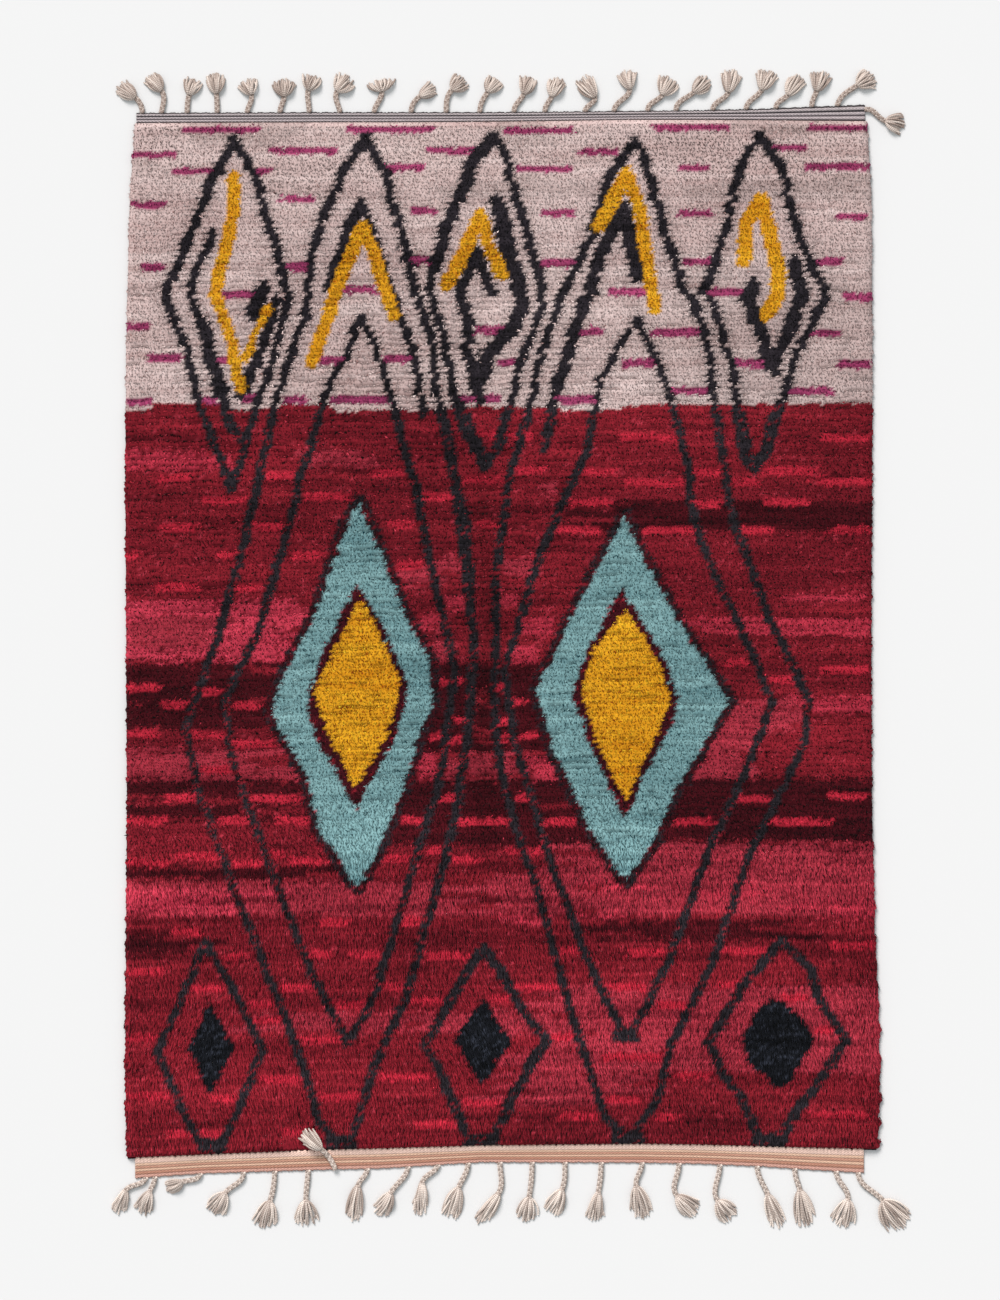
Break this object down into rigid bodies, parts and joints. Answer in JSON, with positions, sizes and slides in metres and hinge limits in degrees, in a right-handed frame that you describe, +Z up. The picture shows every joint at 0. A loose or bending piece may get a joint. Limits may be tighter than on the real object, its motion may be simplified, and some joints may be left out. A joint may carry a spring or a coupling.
{
  "type": "boujad rug",
  "caption": "Thick knotted wool rug lying flat, pink end and crimson field with lozenges, flatwoven end bands and braided tassels at both ends.",
  "frame": {"origin": "a point on the flat underside, in the middle of the knotted field", "axes": "+Z up out of the pile, +Y along the rug towards its pink end, +X across it to the right"},
  "size_m": [1.9231, 2.8001, 0.0275],
  "materials": {
    "pile_wool": "matt hand-spun wool pile, mostly crimson",
    "end_weave_grey": "matt ribbed flatweave",
    "end_weave_peach": "matt corded flatweave",
    "warp_yarn": "matt plied wool yarn"
  },
  "bodies": {
    "root": {"pile_field": "pile_wool", "end_band_top": "end_weave_grey", "end_band_bottom": "end_weave_peach", "tassel_top_01": "warp_yarn", "tassel_top_02": "warp_yarn", "tassel_top_03": "warp_yarn", "tassel_top_04": "warp_yarn", "tassel_top_05": "warp_yarn", "tassel_top_06": "warp_yarn", "tassel_top_07": "warp_yarn", "tassel_top_08": "warp_yarn", "tassel_top_09": "warp_yarn", "tassel_top_10": "warp_yarn", "tassel_top_11": "warp_yarn", "tassel_top_12": "warp_yarn", "tassel_top_13": "warp_yarn", "tassel_top_14": "warp_yarn", "tassel_top_15": "warp_yarn", "tassel_top_16": "warp_yarn", "tassel_top_17": "warp_yarn", "tassel_top_18": "warp_yarn", "tassel_top_19": "warp_yarn", "tassel_top_20": "warp_yarn", "tassel_top_21": "warp_yarn", "tassel_top_22": "warp_yarn", "tassel_top_23": "warp_yarn", "tassel_top_24": "warp_yarn", "tassel_bottom_01": "warp_yarn", "tassel_bottom_02": "warp_yarn", "tassel_bottom_03": "warp_yarn", "tassel_bottom_04": "warp_yarn", "tassel_bottom_05": "warp_yarn", "tassel_bottom_06": "warp_yarn", "tassel_bottom_07": "warp_yarn", "tassel_bottom_08": "warp_yarn", "tassel_bottom_09": "warp_yarn", "tassel_bottom_10": "warp_yarn", "tassel_bottom_11": "warp_yarn", "tassel_bottom_12": "warp_yarn", "tassel_bottom_13": "warp_yarn", "tassel_bottom_14": "warp_yarn", "tassel_bottom_15": "warp_yarn", "tassel_bottom_16": "warp_yarn", "tassel_bottom_17": "warp_yarn", "tassel_bottom_18": "warp_yarn", "tassel_bottom_19": "warp_yarn", "tassel_bottom_20": "warp_yarn", "tassel_bottom_21": "warp_yarn", "tassel_bottom_22": "warp_yarn"}
  },
  "joints": []
}
